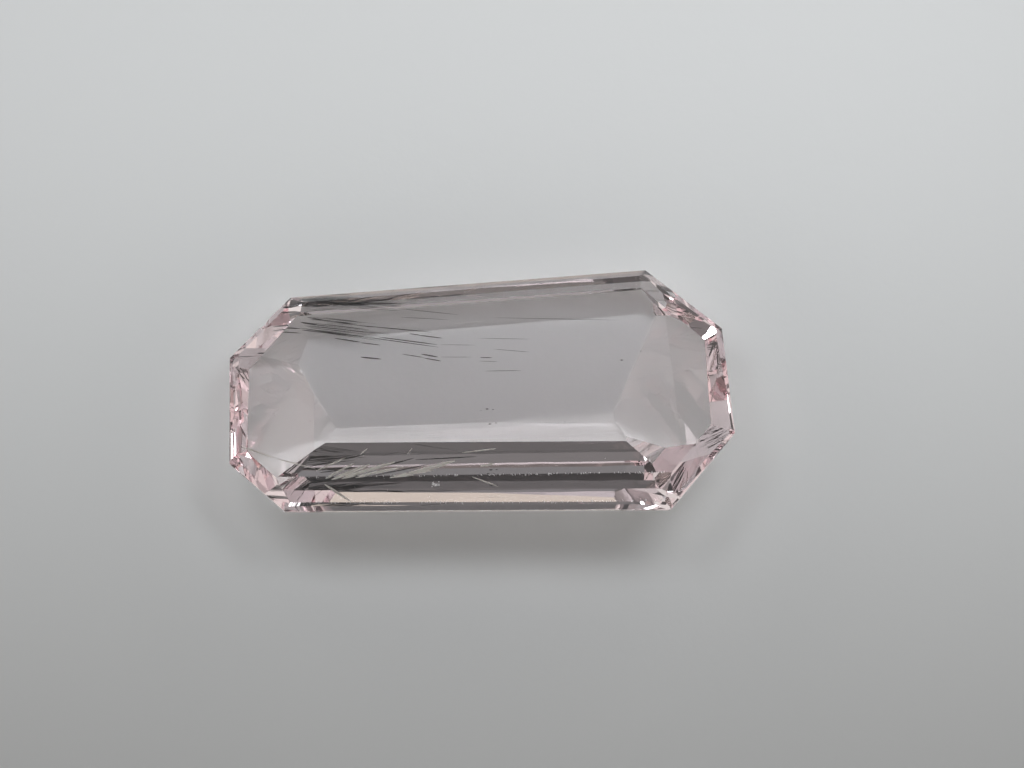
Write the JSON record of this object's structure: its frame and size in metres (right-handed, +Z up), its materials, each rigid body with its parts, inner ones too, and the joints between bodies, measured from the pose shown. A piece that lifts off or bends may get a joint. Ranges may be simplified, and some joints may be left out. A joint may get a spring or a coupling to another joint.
{
  "type": "cut kunzite gemstone, elongated step cut",
  "caption": "Long eight-sided step-cut gem of clear pale pink kunzite with a shallow window and fine dark needles inside.",
  "frame": {"origin": "middle of the bounding box at the level the stone rests on", "axes": "+X along the stone's length, +Z up from the surface it rests on, +Y towards the side whose pavilion facet it rests on"},
  "size_m": [0.017, 0.0082, 0.0046],
  "materials": {
    "kunzite": "polished, transparent, refractive index 1.665"
  },
  "bodies": {
    "root": {"kunzite_gem": "kunzite"}
  },
  "joints": []
}
